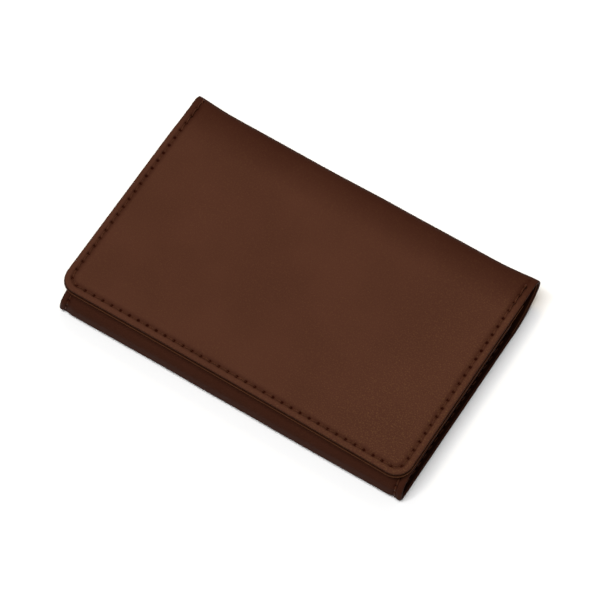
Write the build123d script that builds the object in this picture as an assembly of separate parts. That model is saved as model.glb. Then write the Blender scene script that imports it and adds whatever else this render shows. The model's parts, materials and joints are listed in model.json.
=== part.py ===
from build123d import *
from math import cos, degrees, pi, radians, sin
import os

# Flap card case, lying closed on its back. Millimetres; +X along its length, +Y towards the
# spine, +Z up. The origin is the bottom centre of the closed case.
#
# One outer sheet runs from the front panel round the front fold, under the back, up the curved
# spine and over into the flap. It is divided at its fold lines, because each stretch moves with
# a different body. Angles of bends are measured from +Y towards +Z.

# Overall size of the closed case
CASE_LENGTH = 110.0
CASE_DEPTH = 73.4
CASE_HEIGHT = 13.8

# Leather, lining and board thicknesses
OUTER = 1.1
LINING = 0.5
GUSSET = 0.5
STIFFENER = 0.3

# Pocket and flap
POCKET_HEIGHT = 10.7
MOUTH_SETBACK = 13.0
MOUTH_CORNER = 2.5
FLAP_SETBACK = 2.4
FLAP_CORNER = 5.0
FLAP_POCKET_SETBACK = 9.0

# Spine: a wide bend up from the back, then a tight crease over into the flap
BEND_ANGLE = 60.0
BEND_RADIUS = 14.0
HINGE_CLEARANCE = 0.05

# Stitching: grooves let the thread in flush with the leather
STITCH_INSET = 2.1
STITCH_PITCH = 2.85
STITCH_LENGTH = 2.1
STITCH_WIDTH = 0.5
GROOVE_WIDTH = 0.8
GROOVE_DEPTH = 0.3

# Gussets: each is folded in two along a crease that points into the pocket
FLANGE_WIDTH = 3.4
GUSSET_DEPTH = 8.4
CREASE_WIDTH = 0.8
CREASE_GAP = 0.3
END_GAP = 0.2

# Stiffener boards stay inside the stitching
STIFFENER_INSET = 4.5

# Levels and edges that follow from the sizes above
WALL = OUTER + LINING
FRONT_Y = -CASE_DEPTH / 2
REAR_Y = CASE_DEPTH / 2
MOUTH_Y = REAR_Y - MOUTH_SETBACK
FLAP_FRONT_Y = FRONT_Y + FLAP_SETBACK
SEAM_X = CASE_LENGTH / 2 - STITCH_INSET
CREASE_ANGLE = 180.0 - BEND_ANGLE

# Front fold: a half pipe that joins the back to the front panel
FOLD_RADIUS = POCKET_HEIGHT / 2
FOLD_Y = FRONT_Y + FOLD_RADIUS
FOLD_CENTRE = (FOLD_Y, FOLD_RADIUS)

# The crease runs from the end of the bend to the top of the flap, which sets its radius
BEND_RISE = BEND_RADIUS * (1 - cos(radians(BEND_ANGLE)))
CREASE_RADIUS = (CASE_HEIGHT - BEND_RISE) / (1 + cos(radians(BEND_ANGLE)))
CREASE_Y = REAR_Y - CREASE_RADIUS
CREASE_CENTRE = (CREASE_Y, CASE_HEIGHT - CREASE_RADIUS)
BEND_Y = CREASE_Y - (BEND_RADIUS - CREASE_RADIUS) * sin(radians(BEND_ANGLE))
BEND_CENTRE = (BEND_Y, BEND_RADIUS)


def hinge_point(centre, radius, angle):
    """Where a bend turns: on its middle plane, just outside its outer face."""
    reach = radius + HINGE_CLEARANCE
    return (
        centre[0] + reach * cos(radians(angle)),
        centre[1] + reach * sin(radians(angle)),
    )


def plate(width, y_low, y_high, z_low, thickness, x=0.0):
    """Flat rectangular sheet."""
    place = Pos(x, (y_low + y_high) / 2, z_low + thickness / 2)
    return place * Box(width, y_high - y_low, thickness)


def bent_sheet(centre, radius, thickness, start, sweep, width=CASE_LENGTH, x=0.0):
    """Sheet bent round a line along X. `radius` is that of its outer face."""
    outer = CenterArc(centre, radius, start, sweep)
    inner = CenterArc(centre, radius - thickness, start, sweep)
    ends = [Line(outer @ 1, inner @ 1), Line(inner @ 0, outer @ 0)]
    section = make_face([outer, inner] + ends)
    return Pos(x, 0, 0) * extrude(Plane.YZ * section, width / 2, both=True)


def lower_bend(inset, thickness):
    """Half of the bend that stays with the back."""
    return bent_sheet(BEND_CENTRE, BEND_RADIUS - inset, thickness, -90, BEND_ANGLE / 2)


def spine_sheet(inset, thickness):
    """Other half of the bend, joined to the first half of the crease."""
    bend_start = BEND_ANGLE / 2 - 90
    crease_start = BEND_ANGLE - 90
    bend = bent_sheet(BEND_CENTRE, BEND_RADIUS - inset, thickness, bend_start, BEND_ANGLE / 2)
    crease = bent_sheet(
        CREASE_CENTRE, CREASE_RADIUS - inset, thickness, crease_start, CREASE_ANGLE / 2
    )
    return bend + crease


def upper_crease(inset, thickness):
    """Half of the crease that stays with the flap."""
    start = 90 - CREASE_ANGLE / 2
    return bent_sheet(CREASE_CENTRE, CREASE_RADIUS - inset, thickness, start, CREASE_ANGLE / 2)


def tongue(inset, rear_y):
    """Outline of the flap moved in by `inset`, with its two round front corners."""
    front_y = FLAP_FRONT_Y + inset
    outline = Pos(0, (front_y + rear_y) / 2) * Rectangle(CASE_LENGTH - 2 * inset, rear_y - front_y)
    return fillet(outline.vertices().group_by(Axis.Y)[0], FLAP_CORNER - inset)


def front_outline():
    """Outline of the front panel: square at the fold, round corners at the mouth."""
    outline = Pos(0, (FOLD_Y + MOUTH_Y) / 2) * Rectangle(CASE_LENGTH, MOUTH_Y - FOLD_Y)
    return fillet(outline.vertices().group_by(Axis.Y)[-1], MOUTH_CORNER)


def stitch_row(path, z_low):
    """Separate stitches at an even pitch along a level path."""
    count = round(path.length / STITCH_PITCH)
    stitches = []
    for i in range(count):
        along = (i + 0.5) / count
        point = path.position_at(along)
        tangent = path.tangent_at(along)
        turn = Vector(1, 0, 0).get_signed_angle(tangent, Vector(0, 0, 1))
        place = Pos(point.X, point.Y, z_low + GROOVE_DEPTH / 2) * Rot(0, 0, turn)
        stitches.append(place * Box(STITCH_LENGTH, STITCH_WIDTH, GROOVE_DEPTH))
    return Compound(children=stitches)


def seam_row(side, y_high, z_low):
    """Straight run of a side seam, back from the front fold."""
    x = side * SEAM_X
    return stitch_row(Wire([Edge.make_line((x, FOLD_Y, 0), (x, y_high, 0))]), z_low)


def outer_back():
    """Back stretch of the outer sheet, skived inside to take its board."""
    body = plate(CASE_LENGTH, FOLD_Y, BEND_Y, 0, OUTER) + lower_bend(0, OUTER)
    for side in (-1, 1):
        body -= plate(GROOVE_WIDTH, FOLD_Y, MOUTH_Y, 0, GROOVE_DEPTH, side * SEAM_X)
    return body - back_stiffener()


def back_stiffener():
    return plate(
        CASE_LENGTH - 2 * STIFFENER_INSET,
        FOLD_Y + STIFFENER_INSET,
        BEND_Y - STIFFENER_INSET,
        OUTER - STIFFENER,
        STIFFENER,
    )


def back_lining():
    return plate(CASE_LENGTH, FOLD_Y, BEND_Y, OUTER, LINING) + lower_bend(OUTER, LINING)


def outer_front_fold():
    """Front fold of the outer sheet, grooved near each end for the side seams."""
    body = bent_sheet(FOLD_CENTRE, FOLD_RADIUS, OUTER, 90, 180)
    for side in (-1, 1):
        x = side * SEAM_X
        body -= bent_sheet(FOLD_CENTRE, FOLD_RADIUS, GROOVE_DEPTH, 90, 180, GROOVE_WIDTH, x)
    return body


def front_fold_lining():
    return bent_sheet(FOLD_CENTRE, FOLD_RADIUS - OUTER, LINING, 90, 180)


def fold_seam_stitches(side):
    """Stitches of one side seam where it runs round the front fold."""
    count = round(pi * FOLD_RADIUS / STITCH_PITCH)
    step = 180 / count
    sweep = degrees(STITCH_LENGTH / FOLD_RADIUS)
    x = side * SEAM_X
    stitches = []
    for i in range(count):
        start = 90 + (i + 0.5) * step - sweep / 2
        stitches.append(
            bent_sheet(FOLD_CENTRE, FOLD_RADIUS, GROOVE_DEPTH, start, sweep, STITCH_WIDTH, x)
        )
    return Compound(children=stitches)


def outer_front():
    """Front panel of the outer sheet, grooved for both side seams and the row along the mouth."""
    body = Pos(0, 0, POCKET_HEIGHT - OUTER) * extrude(front_outline(), OUTER)
    floor = POCKET_HEIGHT - GROOVE_DEPTH
    groove_rear = MOUTH_Y - STITCH_INSET + GROOVE_WIDTH / 2
    for side in (-1, 1):
        body -= plate(GROOVE_WIDTH, FOLD_Y, groove_rear, floor, GROOVE_DEPTH, side * SEAM_X)
    return body - plate(2 * SEAM_X, groove_rear - GROOVE_WIDTH, groove_rear, floor, GROOVE_DEPTH)


def front_lining():
    return Pos(0, 0, POCKET_HEIGHT - WALL) * extrude(front_outline(), LINING)


def mouth_stitches():
    """Row along the mouth, between the two side seams."""
    y = MOUTH_Y - STITCH_INSET
    half = SEAM_X - STITCH_PITCH / 2
    path = Wire([Edge.make_line((-half, y, 0), (half, y, 0))])
    return stitch_row(path, POCKET_HEIGHT - GROOVE_DEPTH)


def gusset_leaf(side, wall_z, inward):
    """Half of a gusset: a flange sewn on the wall at wall_z, and a leaf that slopes to the crease."""
    edge = CASE_LENGTH / 2
    bend = edge - FLANGE_WIDTH
    crease = edge - GUSSET_DEPTH
    rise = (POCKET_HEIGHT - CREASE_GAP) / 2 - WALL
    section = [
        (edge, 0),
        (edge, GUSSET),
        (bend, GUSSET),
        (crease + CREASE_WIDTH, rise),
        (crease, rise),
        (crease, rise - GUSSET),
        (bend - GUSSET, 0),
    ]
    outline = Polyline([(side * x, wall_z + inward * z) for x, z in section], close=True)
    middle = (FOLD_Y + END_GAP + MOUTH_Y) / 2
    length = MOUTH_Y - FOLD_Y - END_GAP
    return Pos(0, middle, 0) * extrude(Plane.XZ * make_face(outline), length / 2, both=True)


def outer_spine():
    return spine_sheet(0, OUTER)


def spine_lining():
    return spine_sheet(OUTER, LINING)


def outer_flap():
    """Flap of the outer sheet, grooved for its stitches and skived inside to take its board."""
    body = Pos(0, 0, CASE_HEIGHT - OUTER) * extrude(tongue(0, CREASE_Y), OUTER)
    near = tongue(STITCH_INSET - GROOVE_WIDTH / 2, CREASE_Y)
    far = tongue(STITCH_INSET + GROOVE_WIDTH / 2, CREASE_Y)
    groove = Pos(0, 0, CASE_HEIGHT - GROOVE_DEPTH) * extrude(near - far, GROOVE_DEPTH)
    return body + upper_crease(0, OUTER) - groove - flap_stiffener()


def flap_stiffener():
    board = tongue(STIFFENER_INSET, CREASE_Y - STIFFENER_INSET)
    return Pos(0, 0, CASE_HEIGHT - OUTER) * extrude(board, STIFFENER)


def flap_lining():
    flat = Pos(0, 0, CASE_HEIGHT - WALL) * extrude(tongue(0, CREASE_Y), LINING)
    return flat + upper_crease(OUTER, LINING)


def flap_pocket():
    """Slip pocket under the flap, caught in the flap's stitching on three sides."""
    outline = tongue(0, REAR_Y - FLAP_POCKET_SETBACK)
    return Pos(0, 0, CASE_HEIGHT - WALL - LINING) * extrude(outline, LINING)


def flap_stitches():
    """One row round the left, front and right edges of the flap."""
    x = SEAM_X
    y = FLAP_FRONT_Y + STITCH_INSET
    radius = FLAP_CORNER - STITCH_INSET
    path = Wire(
        [
            Edge.make_line((-x, CREASE_Y, 0), (-x, y + radius, 0)),
            Edge.make_tangent_arc((-x, y + radius, 0), (0, -1, 0), (-x + radius, y, 0)),
            Edge.make_line((-x + radius, y, 0), (x - radius, y, 0)),
            Edge.make_tangent_arc((x - radius, y, 0), (1, 0, 0), (x, y + radius, 0)),
            Edge.make_line((x, y + radius, 0), (x, CREASE_Y, 0)),
        ]
    )
    return stitch_row(path, CASE_HEIGHT - GROOVE_DEPTH)


def build_nodes():
    """Every node of the case, by name."""
    nodes = {
        "outer_back": outer_back(),
        "outer_front_fold": outer_front_fold(),
        "outer_front": outer_front(),
        "outer_spine": outer_spine(),
        "outer_flap": outer_flap(),
        "back_lining": back_lining(),
        "front_fold_lining": front_fold_lining(),
        "front_lining": front_lining(),
        "spine_lining": spine_lining(),
        "flap_lining": flap_lining(),
        "back_stiffener": back_stiffener(),
        "flap_stiffener": flap_stiffener(),
        "flap_pocket": flap_pocket(),
        "flap_stitches": flap_stitches(),
        "mouth_stitches": mouth_stitches(),
    }
    front_row_end = MOUTH_Y - STITCH_INSET - STITCH_PITCH / 2
    for name, side in (("left", -1), ("right", 1)):
        nodes[f"{name}_gusset_back_leaf"] = gusset_leaf(side, WALL, 1)
        nodes[f"{name}_gusset_front_leaf"] = gusset_leaf(side, POCKET_HEIGHT - WALL, -1)
        nodes[f"{name}_back_seam_stitches"] = seam_row(side, MOUTH_Y, 0)
        nodes[f"{name}_fold_seam_stitches"] = fold_seam_stitches(side)
        nodes[f"{name}_front_seam_stitches"] = seam_row(
            side, front_row_end, POCKET_HEIGHT - GROOVE_DEPTH
        )
    return nodes


os.makedirs("parts", exist_ok=True)
for node, shape in build_nodes().items():
    export_step(shape, f"parts/{node}.step")

print("spine hinge y, z:", hinge_point(BEND_CENTRE, BEND_RADIUS, BEND_ANGLE / 2 - 90))
print("flap hinge y, z:", hinge_point(CREASE_CENTRE, CREASE_RADIUS, 90 - CREASE_ANGLE / 2))
print("front panel hinge y, z:", hinge_point(FOLD_CENTRE, FOLD_RADIUS, 90))
print("mouth y:", MOUTH_Y, "front fold y:", FOLD_Y, "bend y:", BEND_Y, "crease y:", CREASE_Y)
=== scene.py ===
import json
import math

import bmesh
import bpy
import numpy as np
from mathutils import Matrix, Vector


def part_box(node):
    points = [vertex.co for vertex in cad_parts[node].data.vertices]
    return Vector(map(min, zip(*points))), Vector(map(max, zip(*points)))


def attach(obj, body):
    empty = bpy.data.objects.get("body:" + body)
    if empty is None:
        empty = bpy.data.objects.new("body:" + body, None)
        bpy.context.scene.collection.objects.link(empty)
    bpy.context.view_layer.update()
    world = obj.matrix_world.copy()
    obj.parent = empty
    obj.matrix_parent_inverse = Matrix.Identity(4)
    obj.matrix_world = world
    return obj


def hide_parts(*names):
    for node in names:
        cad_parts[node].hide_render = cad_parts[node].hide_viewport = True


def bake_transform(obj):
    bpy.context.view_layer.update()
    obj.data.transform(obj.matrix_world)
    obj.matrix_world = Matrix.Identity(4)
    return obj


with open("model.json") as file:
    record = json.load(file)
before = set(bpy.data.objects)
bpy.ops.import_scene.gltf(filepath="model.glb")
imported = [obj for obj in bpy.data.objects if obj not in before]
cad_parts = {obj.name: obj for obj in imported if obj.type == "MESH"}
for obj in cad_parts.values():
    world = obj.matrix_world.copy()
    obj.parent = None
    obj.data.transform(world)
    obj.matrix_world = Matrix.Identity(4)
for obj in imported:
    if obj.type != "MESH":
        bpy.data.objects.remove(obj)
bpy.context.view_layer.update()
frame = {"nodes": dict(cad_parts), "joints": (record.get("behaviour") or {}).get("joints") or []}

MM = 0.001

# The case is one long outer sheet with a lining behind it. Every leather layer is laid out flat
# first, as (x, s, h) in millimetres: x along the case, s along the outer face from the mouth of
# the pocket to the front edge of the flap, and h the height over the outer face. on_sheet() then
# bends that flat pattern round the front fold, the back, the spine and the flap.


# ---------------------------------------------------------------- sizes, from the frame

def corners_mm(node):
    low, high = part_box(node)
    return Vector(low) / MM, Vector(high) / MM


JOINT_AT = {joint["name"]: Vector(joint["pos_m"]) / MM for joint in frame["joints"]}
FLAP_LOW, FLAP_HIGH = corners_mm("outer_flap")
FRONT_LOW, FRONT_HIGH = corners_mm("outer_front")
FRONT_LINING_LOW, FRONT_LINING_HIGH = corners_mm("front_lining")
SLIP_LOW, SLIP_HIGH = corners_mm("flap_pocket")

HALF = FLAP_HIGH.x
TOP = FLAP_HIGH.z
POCKET = FRONT_HIGH.z
MOUTH_Y = FRONT_HIGH.y
FLAP_Y = FLAP_LOW.y
SLIP_Y = SLIP_HIGH.y
OUTER = POCKET - FRONT_LINING_HIGH.z
WALL = POCKET - FRONT_LINING_LOW.z
SLIP = WALL + SLIP_HIGH.z - SLIP_LOW.z

# The spine's two bends, from their hinges, which lie just outside the outer face
CLEARANCE = 0.05
BEND_TURN = math.radians(60)
HALF_BEND = BEND_TURN / 2
BEND_R = (JOINT_AT["spine_fold"].z + CLEARANCE * math.cos(HALF_BEND)) / (1 - math.cos(HALF_BEND))
BEND_Y = JOINT_AT["spine_fold"].y - (BEND_R + CLEARANCE) * math.sin(HALF_BEND)
CREASE_R = 2 * (TOP - JOINT_AT["flap_fold"].z) + CLEARANCE
CREASE_Y = JOINT_AT["flap_fold"].y - (CREASE_R + CLEARANCE) * math.cos(HALF_BEND)

FLAP_CORNER = 5.0
MOUTH_CORNER = 2.5

# Stitching: rows lie this far from the edge, and a side seam comes out nearer to it inside
STITCH_INSET = 2.1
SEAM_INSIDE = 1.3
PITCH = 2.87
FURROW_DEPTH = 0.32

# Gussets: thickness, width of the sewn flange, and how far the fold reaches in from the edge
GUSSET = 0.5
FLANGE = 3.4
PLEAT = 8.2

# The front fold is pressed: it turns gently at its top edge, falls straight, and is sharp below
PRESSED = 1.15
FRONT_Y = FRONT_LOW.y - POCKET / 2 + PRESSED
FOLD_HIGH_R = 0.54 * POCKET
FOLD_LOW_R = 0.19 * POCKET
HIGH_Y = FRONT_Y + FOLD_HIGH_R
LOW_Y = FRONT_Y + FOLD_LOW_R

# How hand work has left the case: the flap's front edge leans and bows forward, the side seams
# draw the ends of the front fold inwards, the fold sits a little to the right of the flap, and
# the ends of the crease stand out. The last two reach in from the case's ends by PINCH_REACH
# and CURL_REACH.
ASKEW = 0.006
BOW = 0.3
PINCH = 0.9
PINCH_REACH = 16
ASIDE = 1.05
CURL = 0.9
CURL_REACH = 18

# The outer face in side view, from the mouth to the front edge of the flap. Each stretch is
# either ("line", length, first point, direction, outward direction)
# or ("arc", length, centre, radius, angle at which it starts).
QUARTER = math.radians(90)
CREASE_TURN = math.pi - BEND_TURN
STRETCHES = [
    ("line", MOUTH_Y - HIGH_Y, (MOUTH_Y, POCKET), (-1, 0), (0, 1)),
    ("arc", QUARTER * FOLD_HIGH_R, (HIGH_Y, POCKET - FOLD_HIGH_R), FOLD_HIGH_R, QUARTER),
    ("line", POCKET - FOLD_HIGH_R - FOLD_LOW_R, (FRONT_Y, POCKET - FOLD_HIGH_R), (0, -1), (-1, 0)),
    ("arc", QUARTER * FOLD_LOW_R, (LOW_Y, FOLD_LOW_R), FOLD_LOW_R, 2 * QUARTER),
    ("line", BEND_Y - LOW_Y, (LOW_Y, 0), (1, 0), (0, -1)),
    ("arc", BEND_TURN * BEND_R, (BEND_Y, BEND_R), BEND_R, -QUARTER),
    ("arc", CREASE_TURN * CREASE_R, (CREASE_Y, TOP - CREASE_R), CREASE_R, BEND_TURN - QUARTER),
    ("line", CREASE_Y - FLAP_Y, (CREASE_Y, TOP), (-1, 0), (0, 1)),
]
STARTS = np.concatenate([[0.0], np.cumsum([stretch[1] for stretch in STRETCHES])])
S_FOLD, S_FACE, S_LOW, S_BACK, S_BEND, S_CREASE, S_FLAP, S_END = STARTS[1:]
S_BACK_MOUTH = S_BACK + MOUTH_Y - LOW_Y


def smooth(value, low, high):
    """Smooth step from 0 at `low` to 1 at `high`."""
    t = np.clip((np.asarray(value, float) - low) / (high - low), 0, 1)
    return t * t * (3 - 2 * t)


def across_section(s):
    """Point (y, z) of the outer face at distance s, and its outward direction."""
    s = np.asarray(s, float)
    y, z, ny, nz = (np.zeros_like(s) for _ in range(4))
    for start, (kind, _, point, a, b) in zip(STARTS, STRETCHES):
        here = (s >= start) | (start == 0)
        run = s[here] - start
        if kind == "line":
            y[here], z[here] = point[0] + a[0] * run, point[1] + a[1] * run
            ny[here], nz[here] = b
        else:
            angle = b + run / a
            ny[here], nz[here] = np.cos(angle), np.sin(angle)
            y[here], z[here] = point[0] + a * ny[here], point[1] + a * nz[here]
    return y, z, ny, nz


def drawn_in(x, s):
    """How far x moves to the right near the front fold: most at its top, nothing at its foot."""
    high = smooth(s, S_FOLD - 14, S_FOLD + 2) * (1 - smooth(s, S_FOLD + 1, S_BACK + 2))
    return high * (ASIDE - np.sign(x) * PINCH * smooth(np.abs(x), HALF - PINCH_REACH, HALF))


def curled(x, s):
    """How far the two ends of the crease stand out, as bent leather does, in millimetres."""
    tight = smooth(s, S_CREASE - 5, S_CREASE + 2) * (1 - smooth(s, S_FLAP - 5, S_FLAP))
    return CURL * tight * smooth(np.abs(x), HALF - CURL_REACH, HALF + 2) ** 2


def on_sheet(flat):
    """Bends flat points (x, s, h) to their place on the case, in millimetres."""
    x, s, h = flat.T
    h = h + curled(x, s)
    share = np.clip((s - S_FLAP) / (S_END - S_FLAP), 0, 1)
    forward = ASKEW * x + BOW * (x / HALF) ** 2
    y, z, ny, nz = across_section(s + forward * share)
    return np.stack([x + drawn_in(x, s), y + ny * h, z + nz * h], 1)


def point_m(s):
    """Place of the outer face at distance s in the middle of the case, in metres."""
    return Vector(on_sheet(np.array([[0.0, s, 0.0]]))[0] * MM)


# ---------------------------------------------------------------- surface of the leather

# Low, wide waves of hand-worked leather: (height, length along x, length along s, phase)
WAVES = [(0.05, 61, 83, 0.2), (0.035, 37, -59, 0.6), (0.015, 23, 31, 0.4)]
FURROW_OUTSIDE = 0.6
FURROW_INSIDE = 1.2
HOLE_ACROSS = 0.27
HOLE_ALONG = 0.29
CUT_WIDTH = 0.12

# How hollow the leather counts in the middle of a furrow, for the painted shade there; a needle
# hole counts 1
FURROW_SHARE = 0.4

# How much of the rounding of its edge the leather loses round the spine
CRISP_SHARE = 0.8


def ripple(x, s):
    return sum(a * np.sin(2 * math.pi * (x / u + s / v + c)) for a, u, v, c in WAVES)


def sewn(s):
    """1 where the edge of the outer sheet is sewn, 0 round the bare spine."""
    return 1 - smooth(s, S_BACK_MOUTH - 1, S_BEND + 3) + smooth(s, S_CREASE + 4, S_FLAP)


def rolled(s):
    """How far the flap sinks where it starts to turn over into the crease, from 0 to 1."""
    return smooth(s, S_FLAP - 7, S_FLAP) * (1 - smooth(s, S_FLAP, S_FLAP + 11))


def crisp(s):
    """How crisp the edge is: 1 round the turned leather of the spine, 0 where it is sewn."""
    return smooth(s, S_BEND - 4, S_BEND + 2) * (1 - smooth(s, S_FLAP - 2, S_FLAP + 3))


def rounded(d, reach, drop):
    """Quarter ellipse at an edge: 0 from `reach` inwards, -drop at the edge itself."""
    t = np.clip(1 - d / reach, 0, 1)
    return -drop * (1 - np.sqrt(1 - t * t))


def furrow(d):
    """Cross-section of the hollow that stitches pull: steep at the edge, slow at the panel."""
    width = np.where(d < STITCH_INSET, FURROW_OUTSIDE, FURROW_INSIDE)
    return np.exp(-(((d - STITCH_INSET) / width) ** 2))


def hole(d, gap):
    """Cross-section of a needle hole, `gap` millimetres along the row from its middle."""
    across, along = (d - STITCH_INSET) / HOLE_ACROSS, gap / HOLE_ALONG
    return np.exp(-(across**2 + along**2) / 2)


def cut_edge(d, inset):
    """1 on the cut edge of a layer that is inset that far, 0 away from it."""
    return math.exp(-(((d - inset) / CUT_WIDTH) ** 2))


class Layer:
    """One thickness of leather. `outer` and `inner` are the heights of its two faces.

    Each edge is (reach, drop) of its rounding. Furrows and holes are depths, `inset` is how far
    the layer stays inside the outer sheet's edge, and waves and roll scale its unevenness.
    """

    def __init__(self, outer, inner, edge_out, edge_in, furrow_out=0, furrow_in=0, hole_out=0,
                 hole_in=0, inset=0, waves=0, roll=0):
        self.faces = (outer, inner)
        self.edges = (edge_out, edge_in)
        self.furrows = (furrow_out, furrow_in)
        self.holes = (hole_out, hole_in)
        self.inset, self.waves, self.roll = inset, waves, roll

    def height(self, face, d, x, s, gap):
        """Height of a face (0 outer, 1 inner), and how hollow it is, from 0 to 1."""
        out = 1 if face == 0 else -1
        groove, pit = furrow(d) * sewn(s), hole(d, gap) * sewn(s)
        deep = self.furrows[face] * groove + self.holes[face] * pit
        reach, drop = self.edges[face]
        edge = rounded(d - self.inset, reach, drop) * (1 - CRISP_SHARE * crisp(s))
        h = self.faces[face] + out * (edge - deep)
        if face == 0:
            h = h + self.waves * ripple(x, s) - self.roll * rolled(s)
        return h, np.clip(FURROW_SHARE * groove + pit, 0, 1)


OUTER_LAYER = Layer(0, -OUTER, (1.2, 0.68), (0.35, 0.25), furrow_out=FURROW_DEPTH,
                    hole_out=0.42, waves=1, roll=0.6)
LINING_LAYER = Layer(-OUTER, -WALL, (0.15, 0.1), (0.2, 0.2), furrow_in=0.08, hole_in=0.25,
                     inset=0.45)
SLIP_LAYER = Layer(-WALL, -SLIP, (0.16, 0.16), (0.25, 0.25), furrow_in=0.1, hole_in=0.25,
                   inset=-0.25)

# Distances from the edge of the rings that shape it: close at the stitches and at the very edge
RINGS = [4.4, 3.9, 3.45, 3.1, 2.8, 2.58, 2.4, 2.25, 2.1, 1.95, 1.8, 1.62]
RINGS += [1.4, 1.15, 0.95, 0.75, 0.55, 0.37, 0.22, 0.1, 0.03, 0]


def edge_rings(layer, corner):
    """Rings round the edge, from the outer face over the edge to the inner face: (face, d)."""
    over = [(0, d + layer.inset) for d in RINGS if d + layer.inset < corner]
    under = [(1, d) for _, d in reversed(over)]
    return [(0, corner)] + over + under + [(1, corner)]


# ---------------------------------------------------------------- stitch rows

# Stations between two holes, in shares of the pitch, close together at the holes
STEPS = [0, 0.06, 0.13, 0.22, 0.36, 0.5, 0.64, 0.78, 0.87, 0.94]
CORNER_STEPS = 8


class Row:
    """The line of stitches round a tongue: its front edge at s_edge, running towards `way`."""

    def __init__(self, s_edge, way, depth, corner):
        self.s_edge, self.way, self.depth, self.corner = s_edge, way, depth, corner
        self.front = HALF - corner
        self.bend = (corner - STITCH_INSET) * math.pi / 2
        self.total = self.front + self.bend + depth - corner

    def core(self, q):
        """Inner point and outward direction of the station q mm from the front's middle."""
        a, side = abs(q), math.copysign(1, q)
        if a <= self.front:
            return (q, self.corner), (0.0, -1.0)
        if a <= self.front + self.bend:
            turn = (a - self.front) / self.bend * math.pi / 2
            return (side * self.front, self.corner), (side * math.sin(turn), -math.cos(turn))
        return (side * self.front, self.corner + a - self.front - self.bend), (side, 0.0)

    def flat(self, q, d, h=0.0):
        """Flat point (x, s, h) of station q at distance d from the edge."""
        core, out = self.core(q)
        reach = self.corner - d
        return (core[0] + reach * out[0], self.s_edge + self.way * (core[1] + reach * out[1]), h)

    def holes(self, low, high):
        """Stations of the needle holes between low and high."""
        first, last = math.ceil(low / PITCH - 0.5), math.floor(high / PITCH - 0.5)
        return [(k + 0.5) * PITCH for k in range(first, last + 1)]

    def stations(self):
        """All stations from one end of the row to the other, close together at each hole."""
        marks = [self.front + self.bend * i / CORNER_STEPS for i in range(CORNER_STEPS + 1)]
        marks.append(self.total)
        pitches = range(-1, int(self.total / PITCH) + 1)
        steps = [(k + step + 0.5) * PITCH for k in pitches for step in STEPS]
        near = self.bend / 10
        loose = [q for q in steps if 0 < q < self.total and min(abs(q - m) for m in marks) > near]
        half = sorted(loose + marks)
        return [-q for q in reversed(half)] + [0.0] + half


def gap_to_hole(q):
    """Distance along the row from station q to the nearest hole."""
    part = q / PITCH - 0.5
    return abs(part - round(part)) * PITCH


# ---------------------------------------------------------------- meshes

class Build:
    """Collects flat points and faces, then makes the object.

    `edge` and `hollow` are kept for the materials, `caps` marks the flat-shaded cut ends, and
    `places` holds finished places of whatever is not bent from its flat points.
    """

    def __init__(self):
        self.flat, self.edge, self.hollow = [], [], []
        self.faces, self.caps, self.places = [], [], []

    def add(self, points, edge=0.0, hollow=0.0):
        first = len(self.flat)
        self.flat.extend(points)
        count = len(points)
        self.edge.extend(np.broadcast_to(edge, count))
        self.hollow.extend(np.broadcast_to(hollow, count))
        return list(range(first, first + count))

    def face(self, loop, cap=False):
        loop = [v for i, v in enumerate(loop) if v != loop[i - 1]]
        if len(loop) > 2:
            self.faces.append(loop)
            self.caps.append(cap)

    def piece(self, name, places, slot, material):
        """Object with its places in millimetres and the flat pattern kept as attributes."""
        mesh = bpy.data.meshes.new(name)
        mesh.from_pydata((places * MM).tolist(), [], self.faces)
        mesh.polygons.foreach_set("use_smooth", [not cap for cap in self.caps])
        pattern = mesh.attributes.new("pattern", "FLOAT_VECTOR", "POINT")
        pattern.data.foreach_set("vector", (np.array(self.flat) * MM).ravel().astype(np.float32))
        for label, values in (("edge", self.edge), ("hollow", self.hollow)):
            layer = mesh.attributes.new(label, "FLOAT", "POINT")
            layer.data.foreach_set("value", np.array(values, np.float32))
        mesh.materials.append(material)
        piece = bpy.data.objects.new(name, mesh)
        bpy.context.scene.collection.objects.link(piece)
        return piece


# Of the lines across a flat or a bent stretch, every fourth or every second is kept
FLAT_STEP = 4
BENT_STEP = 2
MARGIN = 3


def kept_lines(places, margin_end, bent):
    """Indices of the lines that cross the panel: fewer where it is flat and plain."""
    last = len(places) - 1
    wanted = []
    for i, place in enumerate(places):
        at_margin = i in (0, last) or abs(place - margin_end) < MARGIN
        if at_margin or i % FLAT_STEP == 0 or (bent[i] and i % BENT_STEP == 0):
            wanted.append(i)
    return wanted


def is_bent(s):
    """Whether the outer face turns within a millimetre of distance s."""
    outward = across_section(s + np.array([-1.0, 0.0, 1.0]))[2]
    return abs(np.gradient(outward)[1]) > 1e-4


class PanelLines:
    """The lines that cross the panel inside a tongue's band. Each starts at one of its stations.

    `front`, `left` and `right` are the stations along those sides. `x` and `t` are the places of
    the lines that are kept, and `kept_x` and `kept_t` their numbers along the front and a side.
    """

    def __init__(self, row, stations):
        side = row.front + row.bend
        self.front = [k for k, q in enumerate(stations) if abs(q) <= row.front + 1e-9]
        self.right = [k for k, q in enumerate(stations) if q >= side - 1e-9]
        self.left = [k for k, q in enumerate(stations) if q <= -side + 1e-9][::-1]
        across = [stations[k] for k in self.front]
        along = [row.core(stations[k])[0][1] for k in self.right]
        bent = [is_bent(row.s_edge + row.way * t) for t in along]
        self.kept_x = kept_lines([abs(x) for x in across], row.front, [False] * len(across))
        self.kept_t = kept_lines(along, row.corner, bent)
        self.x = np.array([across[i] for i in self.kept_x])
        self.t = [along[j] for j in self.kept_t]


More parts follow.
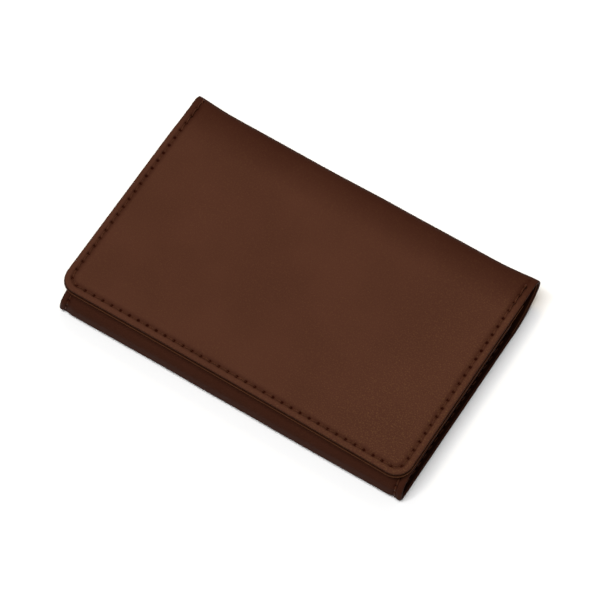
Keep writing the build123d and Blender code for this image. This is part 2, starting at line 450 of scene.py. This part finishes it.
def band(build, row, layer, stations):
    """The band round the edge, ring after ring from the outer face to the inner one."""
    gaps = np.array([gap_to_hole(q) for q in stations])
    merged = {}
    for k, q in enumerate(stations):
        merged.setdefault(row.core(q)[0], k)
    same = [merged[row.core(q)[0]] for q in stations]
    rings = []
    for face, d in edge_rings(layer, row.corner):
        points = np.array([row.flat(q, d) for q in stations])
        points[:, 2], hollow = layer.height(face, d, points[:, 0], points[:, 1], gaps)
        ids = build.add([tuple(p) for p in points], cut_edge(d, layer.inset), hollow)
        if d == row.corner:
            ids = [ids[k] for k in same]
        rings.append(ids)
    for upper, lower in zip(rings, rings[1:]):
        for k in range(len(stations) - 1):
            build.face([upper[k], upper[k + 1], lower[k + 1], lower[k]])
    return rings


def panel(build, row, layer, face, ring, lines):
    """Fills one face inside its ring of the band, and returns the points of its plain end."""
    xs, last = lines.x, len(lines.x) - 1
    node = {}
    for j, t in enumerate(lines.t):
        s = row.s_edge + row.way * t
        d = np.minimum(HALF - np.abs(xs), t)
        h, hollow = layer.height(face, d, xs, np.full(len(xs), s), np.full(len(xs), PITCH / 2))
        inner = list(range(1, last)) if j else []
        points = [(xs[i], s, h[i]) for i in inner]
        made = build.add(points, hollow=hollow[inner] if inner else 0.0)
        node.update({(i, j): v for i, v in zip(inner, made)})
        node[(0, j)] = ring[lines.left[lines.kept_t[j]]]
        node[(last, j)] = ring[lines.right[lines.kept_t[j]]]
        if j == 0:
            node.update({(i, 0): ring[lines.front[k]] for i, k in enumerate(lines.kept_x)})

    # Faces beside the band also take in its stations between two lines
    for j, (t0, t1) in enumerate(zip(lines.kept_t, lines.kept_t[1:])):
        for i, (x0, x1) in enumerate(zip(lines.kept_x, lines.kept_x[1:])):
            low = [node[(i, j)], node[(i + 1, j)]]
            if j == 0:
                low = [ring[lines.front[k]] for k in range(x0, x1 + 1)]
            rise, fall = [], []
            if i == last - 1:
                rise = [ring[lines.right[k]] for k in range(t0 + 1, t1)]
            if i == 0:
                fall = [ring[lines.left[k]] for k in range(t1 - 1, t0, -1)]
            build.face(low + rise + [node[(i + 1, j + 1)], node[(i, j + 1)]] + fall)
    return [node[(i, len(lines.t) - 1)] for i in range(last + 1)]


def tongue(name, row, layer, slot, material):
    """A layer with a sewn edge on three sides and a plain cut end, as one closed mesh."""
    build = Build()
    stations = row.stations()
    rings = band(build, row, layer, stations)
    lines = PanelLines(row, stations)
    outer = panel(build, row, layer, 0, rings[0], lines)
    inner = panel(build, row, layer, 1, rings[-1], lines)
    right = [ids[-1] for ids in rings]
    left = [ids[0] for ids in rings]
    build.face(outer + right[1:] + inner[::-1][1:] + left[::-1][1:-1], cap=True)
    return build.piece(name, on_sheet(np.array(build.flat)), slot, material)


STRIP_COLUMNS = 41
STRIP_SECTIONS = 25


def strip(name, s_low, s_high, layer, slot, material):
    """A layer from edge to edge of the case between two cut ends."""
    build = Build()
    rings = edge_rings(layer, FLAP_CORNER)
    inside = np.linspace(FLAP_CORNER - HALF, HALF - FLAP_CORNER, STRIP_COLUMNS)[1:-1]
    loop = [(face, d, HALF - d) for face, d in rings]
    loop += [(1, HALF - abs(x), x) for x in inside[::-1]]
    loop += [(face, d, d - HALF) for face, d in reversed(rings)]
    loop += [(0, HALF - abs(x), x) for x in inside]
    sections = []
    for s in np.linspace(s_low, s_high, STRIP_SECTIONS):
        points, edges, hollows = [], [], []
        for face, d, x in loop:
            h, hollow = layer.height(face, d, x, s, PITCH / 2)
            points.append((x, s, float(h)))
            edges.append(cut_edge(d, layer.inset))
            hollows.append(float(hollow))
        sections.append(build.add(points, edges, hollows))
    count = len(loop)
    for one, two in zip(sections, sections[1:]):
        for k in range(count):
            build.face([one[k], one[(k + 1) % count], two[(k + 1) % count], two[k]])
    build.face(sections[0], cap=True)
    build.face(sections[-1][::-1], cap=True)
    return build.piece(name, on_sheet(np.array(build.flat)), slot, material)


def tidy_normals(piece):
    """Deletes unused points and turns every face outwards."""
    mesh = bmesh.new()
    mesh.from_mesh(piece.data)
    loose = [v for v in mesh.verts if not v.link_faces]
    bmesh.ops.delete(mesh, geom=loose, context="VERTS")
    bmesh.ops.recalc_face_normals(mesh, faces=mesh.faces)
    mesh.to_mesh(piece.data)
    mesh.free()


# ---------------------------------------------------------------- thread

# A stitch is a two-ply tube that slants across the row and dips into the leather at both holes
THREAD_R = 0.17
PLY_TURN = 0.9
PLY_DEPTH = 0.13
STITCH_SECTIONS = 15
STITCH_SIDES = 8
SLANT = 0.1
DIP = 0.8

# A tack is a short, thick stitch along the row, over the free end of it
TACK_R = 1.5 * THREAD_R
TACK_LIFT = 0.2
TACK_HALF = np.array([0, 0.5])

RANDOM = np.random.default_rng(7)


def add_stitch(build, start, end, face_h, out, lift=0.0, thick=THREAD_R):
    """One stitch between two holes (x, s) on a face, as a closed two-ply tube."""
    a, b = np.array(start), np.array(end)
    length = np.linalg.norm(b - a)
    side = np.array([-(b - a)[1], (b - a)[0]]) / length
    slant = SLANT + RANDOM.normal(0, 0.02)
    sway = RANDOM.normal(0, 0.015)
    twist = RANDOM.uniform(0, 2 * math.pi)
    u = np.linspace(0, 1, STITCH_SECTIONS)
    shift = slant * (1 - 2 * u) + sway * np.sin(math.pi * u)
    xs = a + np.outer(u, b - a) + np.outer(shift, side)
    dip = DIP * np.abs(2 * u - 1) ** 2.6
    middle = face_h + out * (thick * 0.4 + lift - dip)
    line = np.column_stack([xs, middle])
    places = on_sheet(line)
    above = on_sheet(line + [0, 0, 0.1]) - places
    along = np.gradient(places, axis=0)
    along /= np.linalg.norm(along, axis=1)[:, None]
    above -= along * (above * along).sum(1)[:, None]
    above /= np.linalg.norm(above, axis=1)[:, None]
    beside = np.cross(along, above)
    rings = []
    for i in range(STITCH_SECTIONS):
        ring = []
        for k in range(STITCH_SIDES):
            turn = 2 * math.pi * k / STITCH_SIDES
            ply = math.cos(2 * (turn - twist - 2 * math.pi * u[i] * length / PLY_TURN / 2))
            r = thick * (0.9 + PLY_DEPTH * ply)
            ring.append(places[i] + r * (math.cos(turn) * beside[i] + math.sin(turn) * above[i]))
        build.places.extend(ring)
        rings.append(build.add([tuple(line[i])] * STITCH_SIDES))
    for one, two in zip(rings, rings[1:]):
        for k in range(STITCH_SIDES):
            after = (k + 1) % STITCH_SIDES
            build.face([one[k], one[after], two[after], two[k]])
    build.face(rings[0][::-1])
    build.face(rings[-1])


def sew(build, row, holes, face_h, out, tacked=False, inset=STITCH_INSET):
    """A run of stitches along a row. face_h(s) is the height of the face; out is 1 or -1."""
    pairs = list(zip(holes, holes[1:]))
    for i, (q0, q1) in enumerate(pairs):
        start, end = row.flat(q0, inset)[:2], row.flat(q1, inset)[:2]
        level = face_h((start[1] + end[1]) / 2)
        add_stitch(build, start, end, level, out)
        if tacked and i in (0, len(pairs) - 1):
            tail = np.array(start if i == 0 else end)
            low, high = tail - TACK_HALF, tail + TACK_HALF
            add_stitch(build, low, high, level, out, TACK_LIFT, TACK_R)


def thread_piece(name, runs):
    """Thread of several runs, each the arguments of sew()."""
    build = Build()
    for run in runs:
        sew(build, *run)
    thread = build.piece(name, np.array(build.places), "thread", THREAD)
    tidy_normals(thread)
    return thread


# ---------------------------------------------------------------- gussets

# Stations down a gusset: 0 at the mouth, 1 where the front fold starts, 2 in its middle
GUSSET_STATIONS = np.concatenate([np.linspace(0.03, 1, 36), 1 + np.linspace(0.07, 0.86, 13)])

# At the mouth the pleat is drawn back over the card, by this much at its lower lip and its tip
MOUTH_DRAWN = 1.4
PLEAT_DRAWN = 1.2
PLEAT_SAG = 0.15
PLEAT_COLUMNS = 11


def down_wall(mouth, fold, t):
    """Distance s of station t down a wall that runs from `mouth` to `fold`."""
    if t < 1:
        return mouth + (fold - mouth) * t
    return fold + ((S_FOLD + S_BACK) / 2 - fold) * (t - 1)


def gusset_line(t, side):
    """Points (x, y, z) across a gusset at station t, from the back wall to the front wall."""
    flange, pleat = HALF - FLANGE, HALF - PLEAT
    middle = WALL + GUSSET / 2
    walls = []
    for mouth, fold in ((0, S_FOLD), (S_BACK_MOUTH, S_BACK)):
        s = down_wall(mouth, fold, t)
        y, z, ny, nz = (float(v) for v in across_section(s))
        place = np.array([y - ny * middle, z - nz * middle])
        walls.append((place, float(drawn_in(side * HALF, s))))
    (up, shift_up), (low, shift_low) = walls

    # The pleat gets shallower where the walls meet in the fold, and its leather waves a little
    gape = np.linalg.norm(up - low) / (POCKET - 2 * middle)
    tip = flange - (flange - pleat) * gape**0.6
    slack = 0.12 * math.sin(14 * t + side) + 0.08 * math.sin(29 * t)
    mouth = smooth(t, 0.11, 0.03)
    lips = [HALF - 0.35, HALF - 1.6, flange + 0.5]
    points = [(x, low[0] + MOUTH_DRAWN * mouth, low[1]) for x in lips]
    for share in np.linspace(0, 1, PLEAT_COLUMNS + 2)[1:-1]:
        bow = math.sin(math.pi * share)
        x = flange + (tip - flange) * (1 - abs(2 * share - 1) ** 1.5) + slack * bow
        y, z = low + (up - low) * share
        y += MOUTH_DRAWN * mouth * (1 - share) - PLEAT_DRAWN * mouth * bow
        z += PLEAT_SAG * math.sin(2 * math.pi * share)
        points.append((x, y, z))
    points += [(x, up[0], up[1]) for x in reversed(lips)]
    shifts = side * np.linspace(shift_low, shift_up, len(points))
    return [(x + shift, y, z) for (x, y, z), shift in zip(points, shifts)]


def gusset(name, side):
    """One strip folded in two: a flange on each wall and a pleat that points into the pocket."""
    build = Build()
    grid = np.array([gusset_line(t, side) for t in GUSSET_STATIONS])
    across = np.gradient(grid, axis=1)
    down = np.gradient(grid, axis=0)
    normal = np.cross(across, down)
    normal /= np.linalg.norm(normal, axis=2)[:, :, None]
    skins = []
    for offset in (GUSSET / 2, -GUSSET / 2):
        skin = grid + normal * offset
        build.places.extend(skin.reshape(-1, 3))
        skins.append([build.add([(x, t * S_FOLD, z) for x, _, z in line])
                      for t, line in zip(GUSSET_STATIONS, skin)])
    lines, columns = grid.shape[:2]
    for ids in skins:
        for i in range(lines - 1):
            for k in range(columns - 1):
                build.face([ids[i][k], ids[i][k + 1], ids[i + 1][k + 1], ids[i + 1][k]])
    one, two = skins
    for i in range(lines - 1):
        for k in (0, columns - 1):
            build.face([one[i][k], one[i + 1][k], two[i + 1][k], two[i][k]])
    for i in (0, lines - 1):
        for k in range(columns - 1):
            build.face([one[i][k], one[i][k + 1], two[i][k + 1], two[i][k]])
    places = np.array(build.places) * [side, 1, 1]
    return build.piece(name, places, "gusset_leather", SHADED_GUSSET_SKIN)


# ---------------------------------------------------------------- materials

class Nodes:
    """Short ways to add nodes to a material."""

    def __init__(self, name):
        self.material = bpy.data.materials.new(name)
        self.material.use_nodes = True
        self.tree = self.material.node_tree
        self.shader = self.tree.nodes["Principled BSDF"]

    def put(self, socket, value):
        """Links an input to an output, or sets it to a constant."""
        if isinstance(value, bpy.types.NodeSocket):
            self.tree.links.new(value, socket)
        else:
            socket.default_value = value

    def add(self, kind, inputs=None, **settings):
        node = self.tree.nodes.new(kind)
        for key, value in settings.items():
            setattr(node, key, value)
        for key, value in (inputs or {}).items():
            self.put(node.inputs[key], value)
        return node

    def attribute(self, name, output="Fac"):
        return self.add("ShaderNodeAttribute", attribute_name=name).outputs[output]

    def noise(self, at, scale, detail=3.0, roughness=0.5):
        inputs = {"Vector": at, "Scale": scale, "Detail": detail, "Roughness": roughness}
        return self.add("ShaderNodeTexNoise", inputs).outputs["Fac"]

    def ramp(self, value, low, high, out_low=0.0, out_high=1.0):
        """Smooth step of `value` from out_low at `low` to out_high at `high`."""
        inputs = {"Value": value, "From Min": low, "From Max": high}
        inputs.update({"To Min": out_low, "To Max": out_high})
        node = self.add("ShaderNodeMapRange", inputs, interpolation_type="SMOOTHSTEP")
        return node.outputs["Result"]

    def math(self, operation, one, two):
        node = self.add("ShaderNodeMath", operation=operation)
        for socket, value in zip(node.inputs, (one, two)):
            self.put(socket, value)
        return node.outputs["Value"]

    def mix(self, share, one, two):
        node = self.add("ShaderNodeMix", data_type="RGBA")
        sockets = [s for s in node.inputs if s.type == "RGBA"]
        for socket, value in zip([node.inputs[0], *sockets], (share, one, two)):
            self.put(socket, value)
        return [s for s in node.outputs if s.type == "RGBA"][0]

    def bump(self, height, distance, strength=1.0, normal=None):
        inputs = {"Height": height, "Distance": distance, "Strength": strength}
        if normal is not None:
            inputs["Normal"] = normal
        return self.add("ShaderNodeBump", inputs).outputs["Normal"]

    def link(self, value, socket):
        self.tree.links.new(value, self.shader.inputs[socket])

    def set(self, **values):
        for key, value in values.items():
            self.shader.inputs[key.replace("_", " ")].default_value = value


def rgb(r, g, b):
    return (r, g, b, 1.0)


def leather(name, dark, light, shade_tone, edge_tone, rough, grain):
    """Smooth dyed leather: even dye with golden flecks that paint a sheen of glints, and painted
    shade in the furrows, holes and over the crease.

    Distances are in metres along the flat pattern; `grain` scales the depth of its pores.
    """
    n = Nodes(name)
    at = n.attribute("pattern", "Vector")
    place = n.add("ShaderNodeSeparateXYZ", {"Vector": at}).outputs
    cloud = n.ramp(n.noise(at, 45.0, 4.0, 0.55), 0.3, 0.7)
    tone = n.mix(cloud, dark, light)

    # Golden flecks, a painted sheen of glints, show most towards the right front corner of the
    # flap
    towards_corner = n.math("ADD", n.math("ADD", place["X"], place["X"]), place["Y"])
    painted_sheen = n.ramp(towards_corner, (S_FLAP + 50) * MM, (S_END + 115) * MM, 0.3, 1.0)
    painted_glints = n.ramp(n.noise(at, 2500.0, 2.0, 0.8), 0.48, 0.7, 0.0, 0.9)
    painted_glints = n.math("MULTIPLY", painted_glints, painted_sheen)
    tone = n.mix(painted_glints, tone, rgb(1.65 * light[0], 2.1 * light[1], 1.55 * light[2]))

    # Painted shade over the crease where the flap turns over, and in the furrows and holes
    crease_shade = n.ramp(place["Y"], (S_FLAP + 11) * MM, (S_FLAP - 3) * MM, 0.0, 0.56)
    tone = n.mix(crease_shade, tone, shade_tone)
    # Painted shade in the furrows, deepening to full in the needle holes
    hollow = n.attribute("hollow")
    tone = n.mix(n.ramp(hollow, 0.03, 0.42, 0.0, 0.42), tone, shade_tone)
    tone = n.mix(n.ramp(hollow, 0.5, 0.85, 0.0, 1.0), tone, shade_tone)
    # The cut edges take the edge tone: dark edge paint on the outer leather and gussets, and on
    # the lining a burnished edge lightened into a painted highlight along its arris
    tone = n.mix(n.ramp(n.attribute("edge"), 0.3, 1.0, 0.0, 0.5), tone, edge_tone)
    n.link(tone, "Base Color")

    patches = n.ramp(n.noise(at, 90.0, 3.0), 0.3, 0.7, rough - 0.03, rough + 0.03)
    spots = n.ramp(n.noise(at, 2400.0, 2.0), 0.35, 0.7, -0.07, 0.07)
    n.link(n.math("ADD", patches, spots), "Roughness")

    cells = n.add("ShaderNodeTexVoronoi", {"Vector": at, "Scale": 1700.0}, feature="F1")
    pores = cells.outputs["Distance"]
    fine = n.noise(at, 3200.0, 2.0, 0.6)
    coarse = n.noise(at, 420.0, 3.0, 0.55)
    normal = n.bump(coarse, 0.0001, 0.3 * grain)
    normal = n.bump(pores, 0.00005, 0.5 * grain, normal)
    normal = n.bump(fine, 0.00003, 0.6 * grain, normal)
    n.link(normal, "Normal")
    n.set(IOR=1.04, Specular_Tint=rgb(1.0, 0.8, 0.6))
    return n.material


def thread_material():
    n = Nodes("waxed_thread")
    at = n.attribute("pattern", "Vector")
    dark, light = rgb(0.036, 0.0112, 0.0054), rgb(0.056, 0.0187, 0.0092)
    n.link(n.mix(n.ramp(n.noise(at, 700.0), 0.3, 0.7), dark, light), "Base Color")
    n.link(n.ramp(n.noise(at, 2600.0), 0.3, 0.7, 0.28, 0.45), "Roughness")
    fibre = n.add("ShaderNodeTexWave", {"Vector": at, "Scale": 2600.0, "Distortion": 2.0})
    n.link(n.bump(fibre.outputs["Fac"], 0.00003, 0.5), "Normal")
    n.set(IOR=1.15, Specular_Tint=rgb(1.0, 0.75, 0.5))
    return n.material


def board_material():
    n = Nodes("grey_board")
    at = n.add("ShaderNodeTexCoord").outputs["Object"]
    n.link(n.mix(n.noise(at, 900.0), rgb(0.27, 0.23, 0.18), rgb(0.4, 0.35, 0.28)), "Base Color")
    n.link(n.bump(n.noise(at, 2500.0), 0.00004, 0.5), "Normal")
    n.link(n.ramp(n.noise(at, 300.0), 0.3, 0.7, 0.75, 0.95), "Roughness")
    return n.material


OUTER_SKIN = leather("outer_leather", rgb(0.0482, 0.0176, 0.0104), rgb(0.054, 0.0199, 0.0118),
                     rgb(0.016, 0.0028, 0.0012), rgb(0.012, 0.003, 0.0016), 0.4, 1.0)
# The lining is dyed darker than the outer leather and the gussets near black: painted shade for
# the pocket and the side gaps where they are seen. The lining's light edge tone is a painted
# highlight.
SHADED_LINING_SKIN = leather("lining_leather", rgb(0.019, 0.0058, 0.0029), rgb(0.023, 0.0071, 0.0035),
                      rgb(0.008, 0.0024, 0.0012), rgb(0.1, 0.04, 0.018), 0.5, 1.3)
SHADED_GUSSET_SKIN = leather("gusset_leather", rgb(0.011, 0.0033, 0.0018), rgb(0.015, 0.0045, 0.0024),
                      rgb(0.006, 0.0016, 0.0008), rgb(0.01, 0.003, 0.0016), 0.6, 1.4)
THREAD = thread_material()
BOARD = board_material()


# ---------------------------------------------------------------- pieces


def with_panel(piece):
    """For what runs from the back round the front fold into the front panel."""
    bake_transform(piece)


def with_bend(piece):
    point_m(S_BEND)
    point_m(S_CREASE)
    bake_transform(piece)


def with_crease(piece):
    point_m(S_CREASE)
    point_m(S_FLAP)
    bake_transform(piece)


PANEL_ROW = Row(0, 1, S_BEND, MOUTH_CORNER)
FLAP_ROW = Row(S_END, -1, S_END - S_CREASE, FLAP_CORNER)
SLIP_ROW = Row(S_END, -1, SLIP_Y - FLAP_Y, FLAP_CORNER)


def make_leather():
    outer = (OUTER_LAYER, "outer_leather", OUTER_SKIN)
    lining = (LINING_LAYER, "lining_leather", SHADED_LINING_SKIN)
    wrap = tongue("outer_wrap", PANEL_ROW, *outer)
    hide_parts("outer_front", "outer_front_fold", "outer_back")
    inside = tongue("pocket_lining", PANEL_ROW, *lining)
    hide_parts("front_lining", "front_fold_lining", "back_lining")
    spine = strip("outer_spine_skin", S_BEND, S_CREASE, *outer)
    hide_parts("outer_spine")
    spine_inside = strip("spine_lining_skin", S_BEND, S_CREASE, *lining)
    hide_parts("spine_lining")
    flap = tongue("outer_flap_skin", FLAP_ROW, *outer)
    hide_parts("outer_flap")
    flap_inside = tongue("flap_lining_skin", FLAP_ROW, *lining)
    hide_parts("flap_lining")
    slip = tongue("flap_slip_pocket", SLIP_ROW, SLIP_LAYER, "lining_leather", SHADED_LINING_SKIN)
    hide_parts("flap_pocket")
    for piece in (wrap, inside, spine, spine_inside, flap, flap_inside, slip):
        tidy_normals(piece)
    with_panel(wrap)
    with_panel(inside)
    with_bend(spine)
    with_bend(spine_inside)
    with_crease(flap)
    with_crease(flap_inside)
    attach(slip, "flap")


def make_gussets():
    for name, side in (("left", -1), ("right", 1)):
        piece = gusset(f"{name}_gusset", side)
        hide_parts(f"{name}_gusset_back_leaf", f"{name}_gusset_front_leaf")
        tidy_normals(piece)
        with_panel(piece)


def furrow_floor(s):
    """Height that the outer thread lies on."""
    return -FURROW_DEPTH


def gusset_face(s):
    return -WALL - GUSSET


def flap_inside_face(s):
    """Inner face of the flap: the slip pocket's, and the lining's behind it."""
    return -SLIP if s > S_END - (SLIP_Y - FLAP_Y) else -WALL


def make_threads():
    # The flap's row ends where the crease starts, one hole further on the left
    flap_reach = FLAP_ROW.total - (S_FLAP - S_CREASE) + 0.4
    holes = FLAP_ROW.holes(-flap_reach - PITCH, flap_reach)
    outside = (FLAP_ROW, holes, furrow_floor, 1, True)
    inside = (FLAP_ROW, holes, flap_inside_face, -1, True)
    flap = thread_piece("flap_thread", [outside, inside])
    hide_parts("flap_stitches")
    with_crease(flap)

    mouth_end = PANEL_ROW.front + PANEL_ROW.bend + PITCH / 2
    back_end = PANEL_ROW.total - (S_BEND - S_BACK_MOUTH)
    mouth_holes = PANEL_ROW.holes(-mouth_end, mouth_end)
    mouth = thread_piece("mouth_thread", [(PANEL_ROW, mouth_holes, furrow_floor, 1)])
    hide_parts("mouth_stitches")
    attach(mouth, "front_panel")

    # The side seams carry on from the last hole of the mouth's row
    side_holes = PANEL_ROW.holes(mouth_holes[-1], back_end)
    for name, side in (("left", -1), ("right", 1)):
        holes = sorted(side * q for q in side_holes)
        outside = (PANEL_ROW, holes, furrow_floor, 1)
        inside = (PANEL_ROW, holes, gusset_face, -1, False, SEAM_INSIDE)
        seam = thread_piece(f"{name}_seam_thread", [outside, inside])
        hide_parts(*(f"{name}_{part}_seam_stitches" for part in ("back", "fold", "front")))
        with_panel(seam)


def dress_cad_nodes():
    """The two hidden boards stay as the frame has them."""
    for node in ("back_stiffener", "flap_stiffener"):
        slots = frame["nodes"][node].data.materials
        slots.clear()
        slots.append(BOARD)


# ---------------------------------------------------------------- floor, light and camera

# The viewer: degrees round from the front and up, metres away, and the width seen at the case
AZIMUTH, ELEVATION = 32.16, 62.27
DISTANCE = 1.0
AIM = Vector((0.00125, -0.00015, 0.0056))
WIDTH_SEEN = 0.1637
FLOOR_REACH = 4


def make_floor():
    mesh = bpy.data.meshes.new("floor")
    r = FLOOR_REACH
    mesh.from_pydata([(-r, -r, 0), (r, -r, 0), (r, r, 0), (-r, r, 0)], [], [(0, 1, 2, 3)])
    floor = bpy.data.objects.new("floor", mesh)
    n = Nodes("pale_floor")
    n.set(Base_Color=rgb(0.74, 0.74, 0.74), Roughness=0.9, IOR=1.1)
    mesh.materials.append(n.material)
    bpy.context.scene.collection.objects.link(floor)


def aim(thing, target):
    thing.rotation_mode = "QUATERNION"
    thing.rotation_quaternion = (Vector(target) - thing.location).to_track_quat("-Z", "Y")


def direction(azimuth, elevation):
    """Unit vector towards a viewer or light at those degrees."""
    a, e = math.radians(azimuth), math.radians(elevation)
    return Vector((math.sin(a) * math.cos(e), -math.cos(a) * math.cos(e), math.sin(e)))


def add_sun(name, azimuth, elevation, strength, spread):
    light = bpy.data.lights.new(name, "SUN")
    light.energy, light.angle = strength, math.radians(spread)
    lamp = bpy.data.objects.new(name, light)
    lamp.location = direction(azimuth, elevation)
    aim(lamp, (0, 0, 0))
    bpy.context.scene.collection.objects.link(lamp)


def add_softbox(name, target, azimuth, elevation, distance, size, power, colour):
    light = bpy.data.lights.new(name, "AREA")
    light.shape, light.size, light.energy, light.color = "DISK", size, power, colour
    lamp = bpy.data.objects.new(name, light)
    lamp.location = Vector(target) + direction(azimuth, elevation) * distance
    aim(lamp, target)
    bpy.context.scene.collection.objects.link(lamp)


def make_light():
    world = bpy.data.worlds.new("studio")
    bpy.context.scene.world = world
    world.use_nodes = True
    background = world.node_tree.nodes["Background"]
    background.inputs["Color"].default_value = rgb(1, 1, 1)
    background.inputs["Strength"].default_value = 0.38
    add_sun("key", azimuth=0, elevation=76, strength=2.9, spread=30)
    add_sun("glint", azimuth=-40, elevation=66, strength=0.55, spread=6)

    # Mirrors the viewer, so that its warm sheen lies on the right front of the flap
    highlight = (0.55 * HALF * MM, -0.35 * MOUTH_Y * MM, TOP * MM)
    add_softbox("sheen", highlight, 180 + AZIMUTH, ELEVATION, distance=0.5, size=0.12, power=0.5,
                colour=(1, 0.72, 0.34))
    bpy.context.scene.view_settings.view_transform = "Standard"


def make_camera():
    camera = bpy.data.objects.new("camera", bpy.data.cameras.new("camera"))
    back = direction(AZIMUTH, ELEVATION)
    camera.location = AIM + back * DISTANCE
    camera.data.lens = camera.data.sensor_width * DISTANCE / WIDTH_SEEN
    camera.data.clip_start, camera.data.clip_end = 0.1, 20
    aim(camera, AIM)
    bpy.context.scene.collection.objects.link(camera)
    bpy.context.scene.camera = camera


make_leather()
make_gussets()
make_threads()
dress_cad_nodes()
make_floor()
make_light()
make_camera()
